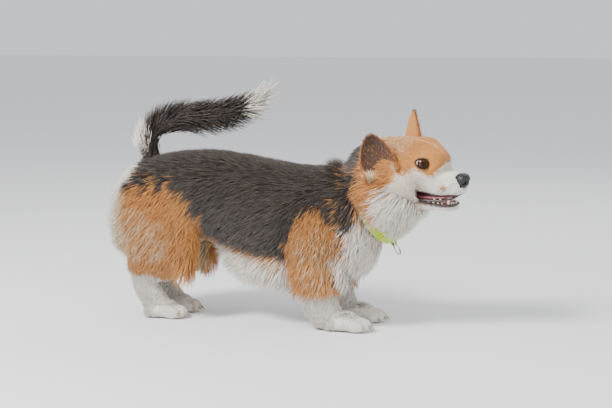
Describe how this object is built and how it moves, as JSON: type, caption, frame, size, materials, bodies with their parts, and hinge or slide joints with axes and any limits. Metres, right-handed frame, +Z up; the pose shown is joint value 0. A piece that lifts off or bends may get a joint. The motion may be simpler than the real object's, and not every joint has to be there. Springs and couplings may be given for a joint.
{
  "type": "pembroke welsh corgi dog, standing, life-size model",
  "caption": "Life-size standing corgi: long, low body, short legs, large upright ears, brush tail carried over the back, long coat on chest, belly and thighs, webbing collar with a ring.",
  "frame": {"origin": "middle of the box's underside, on the floor the soles rest on", "axes": "+X the way the dog faces, +Y its left, +Z up"},
  "size_m": [0.6738, 0.2044, 0.4314],
  "materials": {
    "sable_coat": "black grizzled coat, soft",
    "tan_coat": "red-tan coat, soft",
    "white_coat": "white coat, soft",
    "nose_leather": "moist black",
    "eye": "wet, dark amber-brown",
    "tongue": "moist pink",
    "webbing": "woven, yellow-green",
    "ring_steel": "polished"
  },
  "bodies": {
    "root": {"torso": "sable_coat", "neck": "tan_coat", "head": "tan_coat", "jaw": "white_coat", "tongue": "tongue", "nose": "nose_leather", "ear_right": "tan_coat", "ear_left": "tan_coat", "eye_right": "eye", "eye_left": "eye", "tail_root": "sable_coat", "tail_middle": "sable_coat", "tail_tip": "white_coat", "foreleg_right": "white_coat", "foreleg_left": "white_coat", "forepaw_right": "white_coat", "forepaw_left": "white_coat", "thigh_right": "tan_coat", "thigh_left": "tan_coat", "hock_right": "white_coat", "hock_left": "white_coat", "hindpaw_right": "white_coat", "hindpaw_left": "white_coat", "collar": "webbing", "collar_ring": "ring_steel"}
  },
  "joints": []
}
